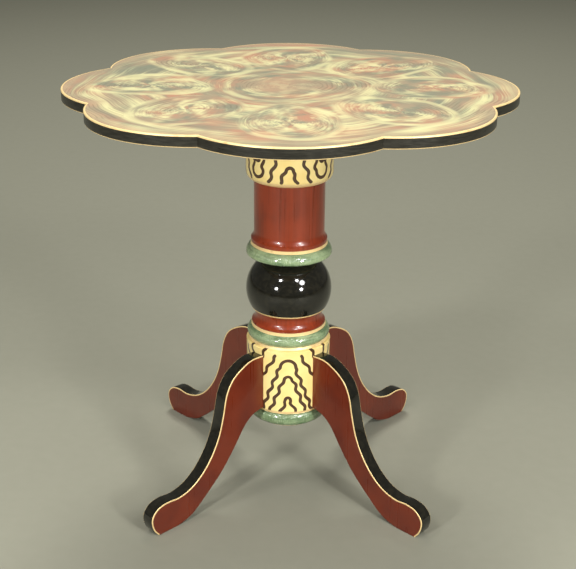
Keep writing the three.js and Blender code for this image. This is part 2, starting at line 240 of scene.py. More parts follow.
# %% [markdown]
# ## Jade glaze for the rings
# The rings are dabbed with a dark green glaze over a pale ground, then varnished over the ridges,
# so the highlights break up into short bright dashes. Three noises make it: one for the dabs, one
# drawn out along the bead for the sweeps of the brush, and one drawn out across it for the ridges
# that the bump and the pale flecks share. The pale flecks are a painted highlight, laid on the ridge
# tops where the lamps' bright dashes fall.

# %% Jade glaze
def jade_glaze():
    f = Finish("jade_glaze")
    place = f.place()
    dabs = f.noise(place, scale=26, detail=3)
    ridges = f.noise(f.stretched(place, (420, 420, 80)), detail=2)
    sweeps = f.noise(f.stretched(place, (22, 22, 260)), detail=4)
    thick = f.rise(dabs * 0.5 + sweeps * 0.5, 0.38, 0.62)
    ground = f.mix(thick, (0.115, 0.185, 0.085), (0.31, 0.40, 0.21))
    # Painted highlight: pale flecks on the ridge tops, where the bump also catches the lamps.
    ground_with_painted_highlight = f.mix(f.rise(ridges, 0.6, 0.7) * 0.35, ground, (0.50, 0.60, 0.36))
    return f.paint({
        "Base Color": f.mix(f.rise(sweeps, 0.56, 0.68) * 0.5, ground_with_painted_highlight, (0.085, 0.12, 0.05)),
        "Roughness": 0.18 + dabs * 0.14,
        "Coat Weight": 0.8,
        "Coat Roughness": 0.08,
        "Normal": f.bump(ridges, 2.0 * MM),
    })


JADE = jade_glaze()

# %% [markdown]
# ## Brush strokes on cream
# The capital and the drum are cream, with brown lines drawn by a loaded brush: dark along both
# edges, where the paint piles up, and thinner in the middle. A texture can't know where a
# hand-drawn line goes, so the lines are worked out as paths, and each vertex stores how far it is
# from the nearest one. Distance blends smoothly between vertices, so a mesh much coarser than the
# line still draws it with a crisp edge.

# %% Cream with brown brushwork
STROKE_HALF = 2.9  # mm, half of a brush line's width


def cream_brushwork():
    f = Finish("cream_brushwork")
    place = f.place()
    away = f.node("ShaderNodeAttribute", {"attribute_name": "stroke"}, {}, "Fac")
    hand = f.noise(place, scale=55, detail=2) - 0.5
    bristle = f.noise(place, scale=420, detail=2) - 0.5
    inside = STROKE_HALF + hand * 1.5 + bristle * 0.5 - away
    line = f.rise(inside, -0.22, 0.22)
    middle = f.rise(inside + hand, 0.9, 1.9) * 0.75
    cloudy = f.rise(f.noise(place, scale=24, detail=3), 0.35, 0.7)
    ground = f.mix(cloudy, (0.92, 0.73, 0.30), (0.88, 0.66, 0.235))
    brown = f.mix(middle, (0.030, 0.012, 0.006), (0.10, 0.048, 0.022))
    return f.paint({
        "Base Color": f.mix(line, ground, brown),
        "Roughness": 0.2 + line * 0.08,
        "Coat Weight": 0.5,
        "Coat Roughness": 0.08,
        "Normal": f.bump(line * 0.6 + bristle * 0.1, 0.12 * MM),
    })


CREAM = cream_brushwork()

# %% [markdown]
# ## The marbled top
# The painter worked wet paint round and round: one oval swirl in each lobe and a round one in the
# middle, in cream, rose, sage and taupe, with a comb dragged through here and there. So the pattern
# isn't laid out in x and y but in each swirl's own radius and angle. Folding the angle into eighths
# puts every point in its own lobe's frame, and the lobe's number shifts the noise, so that no two
# lobes are alike. Nine separate finishes could do it as well, but their borders would show where
# the real paint runs together.

# %% Layout of the swirls
LOBES = 8
LOBE_STEP = 2 * math.pi / LOBES
TOP_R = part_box("table_top")[1].x
LOBE_R = 176.7 * MM
LOBE_OUT = TOP_R - LOBE_R  # from the middle of the table to the middle of a lobe's arc
SWIRL_OUT = LOBE_OUT + 25 * MM
SWIRL_R = 84 * MM
SWIRL_LENGTH = 1.3  # how much longer a swirl is along the radius
CENTRE_R = 108 * MM
COMB_PITCH = 7.5 * MM  # from one tooth of the comb to the next

TAUPE = (0.335, 0.265, 0.17)
ROSE = (0.45, 0.235, 0.145)
SAGE = (0.20, 0.22, 0.155)
CREAMY = (0.70, 0.65, 0.34)


def painted_strokes(f, patches, radius, angle, shift):
    """The colour of soft strokes that run round a centre, over wide patches of different paints."""
    around = angle + radius * 7.0
    cosine, sine = around.math("COSINE"), around.math("SINE")
    broad = f.noise(f.joined(cosine * 1.3, sine * 1.3, radius * 34.0 + shift), detail=2, output="Color")
    hairs = f.noise(f.joined(cosine * 3.0, sine * 3.0, radius * 330.0 + shift), detail=3) - 0.5
    red, green, blue = f.split(broad)
    wide_red, wide_green, wide_blue = patches
    rosy = f.mix(f.rise(red * 0.4 + wide_red * 0.6 + hairs * 0.25, 0.42, 0.62), TAUPE, ROSE)
    sagy = f.mix(f.rise(green * 0.6 + wide_green * 0.4 + hairs * 0.25, 0.44, 0.62) * 0.85, rosy, SAGE)
    return f.mix(f.rise(blue * 0.7 + wide_blue * 0.3 + hairs * 0.4, 0.42, 0.70) * 0.9, sagy, CREAMY)


def marbled_paint():
    f = Finish("marbled_paint")
    place = f.place()
    wander = f.noise(place, scale=6.5, detail=1, output="Color")
    drift = f.node("ShaderNodeVectorMath", {"operation": "SUBTRACT"}, {0: wander, 1: (0.5, 0.5, 0.5)})
    nudge = f.stretched(drift, (0.05, 0.05, 0))
    hand = f.node("ShaderNodeVectorMath", {"operation": "ADD"}, {0: place, 1: nudge})
    x, y, _ = f.split(hand)
    out = (x * x + y * y).math("SQRT")
    bearing = y.math("ARCTAN2", x)
    lobe = (bearing / LOBE_STEP).math("ROUND")
    fold = bearing - lobe * LOBE_STEP
    along = out * fold.math("COSINE") - SWIRL_OUT
    across = out * fold.math("SINE")
    squeezed = along / SWIRL_LENGTH
    radius = (squeezed * squeezed + across * across).math("SQRT")
    angle = across.math("ARCTAN2", squeezed)

    in_lobe = 1 - f.rise(radius, SWIRL_R - 10 * MM, SWIRL_R + 2 * MM)
    in_centre = 1 - f.rise(out, CENTRE_R - 6 * MM, CENTRE_R + 10 * MM)
    patches = f.split(f.noise(hand, scale=9.5, detail=2, output="Color"))
    ground = painted_strokes(f, patches, out, bearing, 40.0)
    centre = painted_strokes(f, patches, out, bearing, 90.0)
    swirl = painted_strokes(f, patches, radius, angle, lobe * 7.3 + 3.0)
    paint = f.mix(in_lobe, f.mix(in_centre, ground, centre), swirl)

    # A broken cream stroke goes round each swirl.
    gaps = f.noise(place, scale=11, detail=2)
    ring_lobe = 1 - f.rise((radius - SWIRL_R + 6 * MM).math("ABSOLUTE"), 2 * MM, 10 * MM)
    ring_centre = 1 - f.rise((out - CENTRE_R).math("ABSOLUTE"), 3 * MM, 12 * MM)
    broken = ring_lobe.math("MAXIMUM", ring_centre) * f.rise(gaps, 0.42, 0.6) * 0.55
    ringed = f.mix(broken, paint, CREAMY)

    # Towards the edge the paint is calmer: taupe and rose, without swirls.
    edge = f.node("ShaderNodeVectorMath", {"operation": "LENGTH"}, {
        0: f.joined(out * fold.math("COSINE") - LOBE_OUT, across, 0.0),
    }, "Value")
    calm = f.mix(f.rise(gaps, 0.36, 0.66), TAUPE, (0.43, 0.285, 0.175))
    paint = f.mix(f.rise(edge, LOBE_R - 34 * MM, LOBE_R - 8 * MM) * 0.7, ringed, calm)

    # The comb leaves fine ripples, in patches.
    turning = radius * in_lobe + out * (1 - in_lobe)
    ripple = (turning * (2 * math.pi / COMB_PITCH) + gaps * 14).math("SINE")
    combed_here = f.rise(f.noise(place, scale=17, detail=1), 0.5, 0.62)
    one_swirl = f.rise((in_lobe - 0.5).math("ABSOLUTE"), 0.44, 0.5)
    combed = ripple * combed_here * one_swirl
    paint = f.mix(f.rise(combed, 0.1, 1.0) * 0.35, paint, (0.16, 0.13, 0.085))
    return f.paint({
        "Base Color": paint,
        "Roughness": 0.2 + gaps * 0.1,
        "Specular IOR Level": 0.3,
        "Normal": f.bump(combed, 0.04 * MM),
    })


MARBLED = marbled_paint()

# %% [markdown]
# ## Wood and metal under the top
# The underside was never meant to be seen: bare hardwood, oiled, with its grain along the boards.
# The fittings are drawn brass and zinc-plated steel. Both show fine scratches from the die, and the
# brass has darkened unevenly.

# %% Bare wood, brass and steel
def bare_wood(name, grain):
    """Hardwood whose grain is drawn out along one axis: grain says how fast it changes along each."""
    f = Finish(name)
    place = f.place()
    bent = f.noise(f.stretched(place, tuple(g * 0.12 for g in grain)), detail=2)
    rings = f.noise(f.stretched(place, grain), detail=5)
    pores = f.noise(f.stretched(place, tuple(g * 4 for g in grain)), detail=2)
    share = f.rise(rings * 0.7 + bent * 0.5, 0.42, 0.78)
    wood = f.mix(share, (0.17, 0.075, 0.03), (0.36, 0.19, 0.085))
    return f.paint({
        "Base Color": f.mix(f.rise(pores, 0.6, 0.7) * 0.5, wood, (0.06, 0.025, 0.012)),
        "Roughness": 0.45 + pores * 0.2,
        "Normal": f.bump(pores, 0.12 * MM),
    })


def drawn_metal(name, clean, dull, roughness):
    f = Finish(name)
    place = f.place()
    scratches = f.noise(f.stretched(place, (2600, 300, 2600)), detail=2)
    patina = f.rise(f.noise(place, scale=85, detail=4), 0.5, 0.75)
    return f.paint({
        "Base Color": f.mix(patina, clean, dull),
        "Metallic": 1.0,
        "Roughness": roughness + scratches * 0.15 + patina * 0.15,
        "Normal": f.bump(scratches, 0.02 * MM),
    })


WOOD_ALONG_Y = bare_wood("bare_wood_along_y", (70, 5, 70))
WOOD_ALONG_X = bare_wood("bare_wood_along_x", (5, 70, 70))
BRASS = drawn_metal("drawn_brass", (0.78, 0.56, 0.22), (0.34, 0.21, 0.08), 0.2)
STEEL = drawn_metal("zinc_steel", (0.62, 0.63, 0.65), (0.33, 0.33, 0.34), 0.25)

# %% [markdown]
# ## From mesh to piece
# Every piece is finished the same way: its doubles are merged, its faces are turned outwards, and
# its edges are shaded smooth unless they are sharp. Then it rides on the body that it belongs to,
# and stands for the plain solid.

# %% Finishing a piece
SHARP_FROM = 32  # degrees between two faces, from which their edge stays sharp


def everything(bm):
    """What a cut through a whole mesh is given."""
    return [*bm.verts, *bm.edges, *bm.faces]


def verts_in(geometry):
    return [v for v in geometry if isinstance(v, bmesh.types.BMVert)]


def finished(name, bm, body, stands_for, finishes):
    bmesh.ops.remove_doubles(bm, verts=bm.verts, dist=WELD)
    bmesh.ops.recalc_face_normals(bm, faces=bm.faces)
    mesh = bpy.data.meshes.new(name)
    bm.to_mesh(mesh)
    bm.free()
    mesh.shade_smooth()
    mesh.set_sharp_from_angle(angle=math.radians(SHARP_FROM))
    for finish in finishes:
        mesh.materials.append(finish)
    obj = bpy.data.objects.new(name, mesh)
    bpy.context.scene.collection.objects.link(obj)
    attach(obj, body)
    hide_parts(*stands_for)
    print("piece", name, len(mesh.polygons), "faces")
    return obj


# %% [markdown]
# ## Turning on the lathe
# A turned section is half of its outline, spun once round the column's axis. The Screw modifier
# could do it too, but the operator leaves a finished mesh whose faces can be painted straight away.
# It needs `use_merge` to close the seam. The outline runs from the bottom up and back down the tie
# rod's bore, so a section is a thick ring, as the real one is. Faces inside a gold band's heights
# take the second finish.

# %% Lathe tools
BORE_R = 8.3
SPIN_STEPS = 144
SMALL_STEPS = 48  # for pins and the like


def arc(r, z, out, up, start, stop, steps):
    """Points [radius, height] on an elliptical arc, from start to stop degrees above outwards."""
    angles = [math.radians(start + (stop - start) * i / steps) for i in range(steps + 1)]
    return [(r + out * math.cos(a), z + up * math.sin(a)) for a in angles]


def spun(outline, steps=SPIN_STEPS, closed=True):
    """A bmesh spun round the Z axis from points [radius, height] in millimetres."""
    bm = bmesh.new()
    verts = [bm.verts.new((r * MM, 0, z * MM)) for r, z in outline]
    ends = verts[1:] + verts[:1] if closed else verts[1:]
    edges = [bm.edges.new(pair) for pair in zip(verts, ends)]
    bmesh.ops.spin(
        bm, geom=verts + edges, cent=(0, 0, 0), axis=(0, 0, 1),
        angle=2 * math.pi, steps=steps, use_merge=True,
    )
    return bm


def section(node, outside, paint, gold=(), steps=SPIN_STEPS, inside=()):
    """A turned column section that stands for a CAD node. A gold band is [low, high] in millimetres."""
    bore = [(BORE_R, outside[-1][1]), *inside]
    if not inside:
        bore.append((BORE_R, outside[0][1]))
    bm = spun([*outside, *bore], steps)
    for face in bm.faces:
        z = face.calc_center_median().z / MM
        face.material_index = int(any(low < z < high for low, high in gold))
    return finished(node + "_turned", bm, "column", [node], [paint, GOLD])


def heights(node):
    low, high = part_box(node)
    return low.z / MM, high.z / MM


# %% [markdown]
# ## The green rings
# Where two sections meet, the turner left a small square fillet for the gold line. The rings are
# beads that overhang the sections below. Their upper and lower halves aren't the same, so each bead
# is two arcs that meet at its widest place. A torus would be quicker, but it is round all the way
# and has no fillet.

# %% Turn the rings
FILLET = 5.5
EASE = 0.4  # mm, taken off a corner


def green_ring(node, bead, top_r, foot_r, foot, inside=()):
    """A ring from its bead's outline, with a gold fillet above it and a painted line below it."""
    low, high = heights(node)
    outline = [
        (foot_r, low), (foot_r + 0.5, low + 0.6), *bead,
        (top_r + EASE, high - FILLET), (top_r, high - FILLET + 0.5),
        (top_r, high - EASE), (top_r - EASE, high),
    ]
    gold = [(high - FILLET, high), (low, low + foot)]
    return section(node, outline, JADE, gold, inside=inside)


POCKET_R = 18
pocket_top = heights("lower_washer")[1]
low, high = heights("base_ring")
widest = low + 14.5
base_bead = [*arc(60, widest, 13.5, 13.3, -72, 0, 12), *arc(60, widest, 13.5, 15, 0, 68, 12)[1:]]
pocket = [(BORE_R, pocket_top), (POCKET_R, pocket_top), (POCKET_R, low)]
green_ring("base_ring", base_bead, 70.5, 62, 4, inside=pocket)

low, high = heights("lower_ring")
widest = low + 14.5
lower_bead = [*arc(59, widest, 16.2, 13.2, -50, 0, 10), *arc(59, widest, 16.2, 13, 0, 57, 12)[1:]]
green_ring("lower_ring", lower_bead, 67.6, 71.5, 3.4)

low, high = heights("upper_ring")
widest = low + 7
upper_bead = [*arc(61.8, widest, 15.4, 6.8, -72, 0, 12), *arc(58, widest, 19.2, 18, 0, 56, 14)[1:]]
green_ring("upper_ring", upper_bead, 68.4, 64.5, 0.6)

# %% [markdown]
# ## The red collar and shaft
# The collar has a waist and widens to both ends, and the shaft is a plain cylinder with a flared
# foot. A cylinder could be scaled ring by ring, but an outline with arcs in it says the same thing
# in a line or two. Both stand on a lip less than a millimetre high, so that the ring below meets
# them at a clean line.

# %% Turn the collar and the shaft
LIP = 0.8
low, high = heights("red_collar")
collar = [(66.8, low), (66.8, low + LIP), *arc(78.8, low + 15, 19.1, 16.5, 231, 180, 12)]
collar += [*arc(84, high - 12, 24.3, 20, 180, 146, 12)[1:], (63.9, high)]
section("red_collar", collar, COLUMN_RED)

low, high = heights("red_shaft")
SHAFT_R = 62.8
flare = [(68, low), (68, low + LIP), *arc(83.8, low + 19, 21, 20, 221, 180, 12)]
section("red_shaft", [*flare, (SHAFT_R, high)], COLUMN_RED)

# %% [markdown]
# ## The black ball
# The ball is a little flatter than a sphere, and is turned in one with a short neck under the ring
# above. A sphere could be squashed and cut off, but its poles would get in the way of the bore, so
# it is one arc of an ellipse, spun. Its foot has a thin gold line.

# %% Turn the ball
low, high = heights("ball")
BALL_R, BALL_UP, BALL_Z = 77.4, 72, 373
NECK_R = 44
lowest = math.degrees(math.asin((low - BALL_Z) / BALL_UP))
highest = math.degrees(math.acos(NECK_R / BALL_R))
ball = [*arc(0, BALL_Z, BALL_R, BALL_UP, lowest, highest, 64), (NECK_R, high)]
section("ball", ball, BLACK, [(low - 0.1, low + 2.6)])

# %% [markdown]
# ## Drawing the brush lines
# All the lines are flanks of arches: they start at a crown, or part of the way down a flank, and go
# outwards in steps as they fall. One function draws that, standing or hanging, and four copies go
# round the section. Each copy shifts the steps a little, as a hand would. Curve objects would draw
# the lines too, but they would stand on the surface as ridges instead of lying in the paint.

# %% Paths of the brush lines
REFERENCE_R = 76.2  # mm, the radius that the lines are laid out on
QUARTER = REFERENCE_R * math.pi / 2
SWAY = 2.3  # mm, how far a line steps to either side
SETTLED = 6  # mm of fall before the steps have their full sway
POINT_GAP = 0.4  # mm between the points of a path


def flank(side, start, crown, slope, until, hang, wobble, pitch=23.0):
    """Points [along, height] that step outwards as they fall from (start, crown) to the height until. They
    rise instead if hang is -1."""
    fall = abs(crown - until)
    steps = max(2, int(fall / POINT_GAP))
    path = []
    for i in range(steps + 1):
        down = fall * i / steps
        ease = min(1.0, down / SETTLED)
        step = SWAY * (math.sin(2 * math.pi * (down / pitch + wobble)) - math.sin(2 * math.pi * wobble))
        path.append((side * (start + slope * down + step * ease), crown - hang * down))
    return path


def arch(crown, cap, slope, until, hang=1, wobble=0.0):
    """A wavy arch with a round crown, or a hanging one."""
    turn = [math.radians(3 * i) for i in range(31)]
    path = []
    for side in (-1, 1):
        path += [(side * cap * math.sin(a), crown - hang * cap * (1 - math.cos(a))) for a in turn]
        path += flank(side, cap, crown - hang * cap, slope, until, hang, wobble + 0.12 * side)
    return path


def stroke_distance(obj, panels):
    """Stores on each vertex how far it is, in millimetres, from the nearest point of the brush lines. A
    panel is [where along the section, points]."""
    marks = [((at + along) / REFERENCE_R, height) for at, path in panels for along, height in path]
    tree = kdtree.KDTree(len(marks))
    for i, (angle, height) in enumerate(marks):
        tree.insert((REFERENCE_R * math.sin(angle), -REFERENCE_R * math.cos(angle), height), i)
    tree.balance()
    away = []
    for vertex in obj.data.vertices:
        x, y, z = vertex.co / MM
        onto = REFERENCE_R / max(math.hypot(x, y), 1.0)
        away.append(tree.find((x * onto, y * onto, z))[2])
    obj.data.attributes.new("stroke", "FLOAT", "POINT").data.foreach_set("value", away)
    print("strokes on", obj.name, "from", len(marks), "points")


# %% [markdown]
# ## The capital and the drum
# Both are turned like the others, but on a finer grid, because the brush lines live on their
# vertices. The capital rounds in to the shaft at its foot. Its lines are standing arches that face
# the four sides and hanging ones on the corners. The drum has three arches inside each other
# between each two legs, and broken lines beside them.

# %% Turn and paint the capital
FINE_STEPS = 320
GRID = 1.6


def uprights(r, low, high):
    """Points up a straight side, close enough together to carry the brush lines."""
    count = int((high - low) / GRID)
    return [(r, low + (high - low) * i / count) for i in range(count + 1)]


low, high = heights("capital")
CAPITAL_R, CAPITAL_ROUND = 77, 15.5
under = arc(CAPITAL_R - CAPITAL_ROUND, low + CAPITAL_ROUND, CAPITAL_ROUND, CAPITAL_ROUND, -80, 0, 14)
capital_side = uprights(CAPITAL_R, low + CAPITAL_ROUND, high)
capital_outline = [(62.9, low), *under, *capital_side[1:]]
gold_foot = (low, low + 10)
capital = section("capital", capital_outline, CREAM, [gold_foot], FINE_STEPS)
lines_foot = low + 12
panels = []
for quarter in range(4):
    at, wobble = quarter * QUARTER, 0.1 * quarter
    panels.append((at, arch(low + 39, 6.2, 0.42, lines_foot, wobble=wobble)))
    for side in (-1, 1):
        panels.append((at, flank(side, 9, high, 0.34, lines_foot, 1, wobble + 0.3)))
    corner = at + QUARTER / 2
    panels.append((corner, arch(low + 17, 12, 0.02, high, -1, wobble)))
    panels.append((corner, arch(low + 45, 4.5, 0.02, high, -1, wobble + 0.4)))
stroke_distance(capital, panels)

# %% Turn and paint the drum
low, high = heights("leg_drum")
DRUM_R, DRUM_FOOT_R, GOLD_FOOT = 76.8, 75.2, 2
drum_side = uprights(DRUM_R, low + GOLD_FOOT, high - 1.5)
drum_outline = [
    (DRUM_FOOT_R, low), (DRUM_FOOT_R, low + GOLD_FOOT), *drum_side, (75.4, high - EASE), (73.5, high),
]
gold_foot = (low, low + GOLD_FOOT)
drum = section("leg_drum", drum_outline, CREAM, [gold_foot], FINE_STEPS)
panels = []
for quarter in range(4):
    at, wobble = quarter * QUARTER, 0.1 * quarter
    for crown, cap, slope in ((31, 4.6, 0.42), (73, 6.8, 0.38), (105, 14, 0.38)):
        panels.append((at, arch(low + crown, cap, slope, low + 3, wobble=wobble + crown * 0.01)))
    for side in (-1, 1):
        for start, crown, slope, until, later in ((24, 113, 0.62, 60, 0.2), (42, 124, 0.5, 70, 0)):
            panels.append((at, flank(side, start, low + crown, slope, low + until, 1, wobble + later)))
stroke_distance(drum, panels)

# %% [markdown]
# ## The scalloped top
# The edge is eight arcs. Eight discs could be joined by a boolean, but its seams are hard to bevel.
# Instead, a vertex spun about a lobe's middle draws that lobe's arc, and its last vertex starts the
# next one, so the outline closes on itself. The face is extruded to the board's thickness, its
# arrises are rounded, and a narrow inset makes the rim that the gold line is painted on. A cut
# round the side marks how far down the gold comes.

# %% Saw and paint the top
ARC_STEPS = 44
ARRIS = 1.4 * MM
RIM = 1.9 * MM
GOLD_DOWN = 2.4 * MM  # how far down the side the gold line comes
FLAT = 0.999  # a face is square to an axis when its normal has at least this much of it
UPRIGHT = 0.02  # and along the axis when its normal has less than this


def scallops(bm, z):
    """One face with the outline of the top."""
    half = LOBE_STEP / 2
    cusp = LOBE_OUT * math.cos(half) + math.sqrt(LOBE_R**2 - (LOBE_OUT * math.sin(half)) ** 2)
    sweep = math.atan2(cusp * math.sin(half), cusp * math.cos(half) - LOBE_OUT)
    tip = [bm.verts.new((cusp * math.cos(half), -cusp * math.sin(half), z))]
    for lobe in range(LOBES):
        facing = lobe * LOBE_STEP
        middle = (LOBE_OUT * math.cos(facing), LOBE_OUT * math.sin(facing), z)
        drawn = bmesh.ops.spin(
            bm, geom=tip, cent=middle, axis=(0, 0, 1), angle=2 * sweep, steps=ARC_STEPS
        )
        tip = verts_in(drawn["geom_last"])
    bmesh.ops.remove_doubles(bm, verts=bm.verts, dist=10 * WELD)
    return bmesh.ops.contextual_create(bm, geom=bm.edges)["faces"]


def painted_top():
    low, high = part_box("table_top")
    bm = bmesh.new()
    grown = bmesh.ops.extrude_face_region(bm, geom=scallops(bm, low.z))["geom"]
    bmesh.ops.translate(bm, verts=verts_in(grown), vec=(0, 0, high.z - low.z))
    bmesh.ops.recalc_face_normals(bm, faces=bm.faces)
    rims = [e for e in bm.edges if abs(e.verts[0].co.z - e.verts[1].co.z) < WELD]
    bmesh.ops.bevel(bm, geom=rims, offset=ARRIS, segments=3, profile=0.5, affect="EDGES", material=-1)
    bm.normal_update()
    face = max((f for f in bm.faces if f.normal.z > FLAT), key=lambda f: f.calc_area())
    bmesh.ops.inset_region(bm, faces=[face], thickness=RIM, use_even_offset=True)
    gold_foot = high.z - GOLD_DOWN
    cut = bmesh.ops.bisect_plane(
        bm, geom=everything(bm), plane_co=(0, 0, gold_foot), plane_no=(0, 0, 1)
    )
    print("gold line cut", len(cut["geom_cut"]))
    bm.normal_update()
    for f in bm.faces:
        if f.normal.z < -FLAT:
            f.material_index = 3
        elif abs(f.normal.z) < UPRIGHT and f.calc_center_median().z < gold_foot:
            f.material_index = 2
        elif f is not face:
            f.material_index = 1
    finishes = [MARBLED, GOLD, BLACK_EDGE, WOOD_ALONG_X]
    return finished("painted_top", bm, "top", ["table_top"], finishes)


painted_top()

# %% [markdown]
# ## The sawn legs
# A leg is an S-curve sawn from a one-inch board. Its outline is two smooth curves through a few
# points: over the knee to the toe, and back underneath. A curve object could be extruded, but its
# arrises couldn't be painted apart from its sides. So the outline is cut off at the drum, extruded,
# rounded along its arrises, and inset on both flat sides for the gold line, which follows only the
# upper edge. The shoulder is hollowed to the drum's curve.

# %% The outline of a leg
BOARD = 25.4
SHOULDER_R = DRUM_R + 0.3
LEG_UPPER = [
    (70, 263), (103, 264), (130, 254), (152, 238), (166, 213), (174, 178),
    (184, 143), (200, 111), (223, 83), (250, 64), (279, 56), (305, 57.5),
    (325, 54), (338, 43), (341.5, 30), (337, 13), (327, 0),
]
LEG_LOWER = [
    (284, 0), (262, 5), (243, 14), (210, 39.5), (177, 69),
    (147, 105), (122, 138), (100, 154), (70, 160),
]
GOLD_WIDTH = 1.3
LEG_ARRIS = 0.9


def between(a, b, c, d, t):
    """A point on the smooth curve from b to c, where a and d are the points before and after."""
    straight = 2 * b + (c - a) * t
    bend = (2 * a - 5 * b + 4 * c - d) * t**2
    turn = (3 * b - a - 3 * c + d) * t**3
    return 0.5 * (straight + bend + turn)


def curved(points, each=8):
    """A smooth curve through the points, each span cut into so many steps."""
    shown = [Vector(p) for p in (points[0], *points, points[-1])]
    path = []
    for a, b, c, d in zip(shown, shown[1:], shown[2:], shown[3:]):
        path += [between(a, b, c, d, i / each) for i in range(each)]
    return [*path, shown[-1]]


def gold_side(upper, lower):
    """A tree of the outline's points, and how many of them, from the first, carry the gold line."""
    tree = kdtree.KDTree(len(upper) + len(lower))
    for i, point in enumerate([*upper, *lower]):
        tree.insert((point.x, 0, point.y), i)
    tree.balance()
    return tree, len(upper)


# %% Saw and paint the legs
def at_drum(vertex):
    return vertex.co.x < (SHOULDER_R + 0.05) * MM


def sawn(outline):
    """The leg's outline cut off at the drum and extruded to the board's thickness."""
    bm = bmesh.new()
    bm.faces.new([bm.verts.new((p.x * MM, -BOARD / 2 * MM, p.y * MM)) for p in outline])
    bmesh.ops.bisect_plane(
        bm, geom=everything(bm), plane_co=(SHOULDER_R * MM, 0, 0), plane_no=(1, 0, 0), clear_inner=True
    )
    grown = bmesh.ops.extrude_face_region(bm, geom=list(bm.faces))["geom"]
    bmesh.ops.translate(bm, verts=verts_in(grown), vec=(0, BOARD * MM, 0))
    bmesh.ops.recalc_face_normals(bm, faces=bm.faces)
    return bm


def painted_leg(bm, ring, tree, gold_count):
    """Gold on the arris of the upper edge, black on the edges, and red on the rest."""
    bm.normal_update()
    for f in bm.faces:
        centre = f.calc_center_median() / MM
        if centre.x < SHOULDER_R + 1.2:
            continue
        if f in ring or UPRIGHT < abs(f.normal.y) < FLAT:
            f.material_index = 2 if tree.find((centre.x, 0, centre.z))[1] < gold_count else 0
        elif abs(f.normal.y) <= UPRIGHT:
            f.material_index = 1


def leg_board(node, facing):
    upper, lower = curved(LEG_UPPER), curved(LEG_LOWER)
    tree, gold_count = gold_side(upper, lower)
    bm = sawn([*upper, *lower])
    arrises = [
        e for e in bm.edges
        if abs(e.verts[0].co.y - e.verts[1].co.y) < WELD and not all(at_drum(v) for v in e.verts)
    ]
    bmesh.ops.bevel(
        bm, geom=arrises, offset=LEG_ARRIS * MM, segments=3, profile=0.5, affect="EDGES", material=-1
    )
    bm.normal_update()
    flats = [f for f in bm.faces if abs(f.normal.y) > FLAT]
    inset = bmesh.ops.inset_individual(
        bm, faces=flats, thickness=GOLD_WIDTH * MM, use_even_offset=True
    )
    painted_leg(bm, inset["faces"], tree, gold_count)
    for v in filter(at_drum, bm.verts):
        v.co.x += (math.sqrt(SHOULDER_R**2 - (v.co.y / MM) ** 2) - SHOULDER_R) * MM
    turn = Matrix.Rotation(math.radians(facing), 3, "Z")
    bmesh.ops.rotate(bm, verts=bm.verts, cent=(0, 0, 0), matrix=turn)
    return finished(node + "_board", bm, "column", [node], [LEG_RED, BLACK, GOLD])


LEGS = {"leg_back_right": 45, "leg_back_left": 135, "leg_front_left": 225, "leg_front_right": 315}
for node, facing in LEGS.items():
    leg_board(node, facing)

# %% [markdown]
# ## Softened edges
# The block, the battens and the flat fittings already have the right shape, and only their edges
# are too sharp to catch the light. They could be built again, but the plain solids are exact
# already. A copy of each is merged, its coplanar faces are joined, and its sharp edges get a small
# bevel.

# %% Wood and fittings with softened edges
SAME_PLANE = 0.5  # degrees between two faces that are really one
SHARP_EDGE = 35


def softened(node, body, width, finish):
    bm = bmesh.new()
    bm.from_mesh(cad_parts[node].data)
    bmesh.ops.remove_doubles(bm, verts=bm.verts, dist=WELD)
    flat = math.radians(SAME_PLANE)
    bmesh.ops.dissolve_limit(bm, angle_limit=flat, verts=bm.verts, edges=bm.edges)
    sharp = [e for e in bm.edges if e.is_manifold and e.calc_face_angle() > math.radians(SHARP_EDGE)]
    bmesh.ops.bevel(
        bm, geom=sharp, offset=width * MM, segments=2, profile=0.5,
        affect="EDGES", material=-1, clamp_overlap=True,
    )
    return finished(node + "_eased", bm, body, [node], [finish])


softened("tilt_block", "column", 1.2, WOOD_ALONG_X)
for side in ("right", "left"):
    softened(f"batten_{side}", "top", 1.2, WOOD_ALONG_Y)
softened("keeper_plate", "column", 0.25, BRASS)
softened("catch_case", "top", 0.35, BRASS)
softened("catch_bolt", "bolt", 0.3, BRASS)
softened("bolt_leaf_spring", "top", 0.1, STEEL)
for node in ("lower_nut", "upper_nut", "lower_washer", "upper_washer"):
    softened(node, "column", 0.4, STEEL)

# %% [markdown]
# ## Pins, rod and knob
# These come off a lathe too. A real thread is a helix, but at this size a row of ridges looks the
# same and can be part of the outline. What is turned standing up is then laid along its own
# direction.

# %% Turn the rod, the pins and the knob
def ridged(radius, low, high, depth, pitch):
    """The outline of a thread between two heights, as ridges."""
    count = int((high - low) / pitch)
    path = []
    for i in range(count):
        z = low + (high - low) * i / count
        path += [(radius - depth, z), (radius, z + pitch / 2)]
    return [*path, (radius - depth, high)]


def laid(bm, along, start):
    """Turns what stands on the origin so that it lies along a direction, from its start."""
    turn = Vector((0, 0, 1)).rotation_difference(Vector(along)).to_matrix().to_4x4()
    bmesh.ops.transform(bm, matrix=Matrix.Translation(start) @ turn, verts=bm.verts)
    return bm


low, high = heights("tie_rod")
ROD_R, THREADED = 8, 36
ROD_DEPTH, ROD_PITCH = 0.9, 1.8
rod = [
    (0, low), (ROD_R - 1, low), *ridged(ROD_R, low + 1, low + THREADED, ROD_DEPTH, ROD_PITCH),
    (ROD_R, low + THREADED + 1), (ROD_R, high - THREADED - 1),
    *ridged(ROD_R, high - THREADED, high - 1, ROD_DEPTH, ROD_PITCH), (ROD_R - 1, high), (0, high),
]
turned = spun(rod, SMALL_STEPS, closed=False)
finished("tie_rod_threaded", turned, "column", ["tie_rod"], [STEEL])

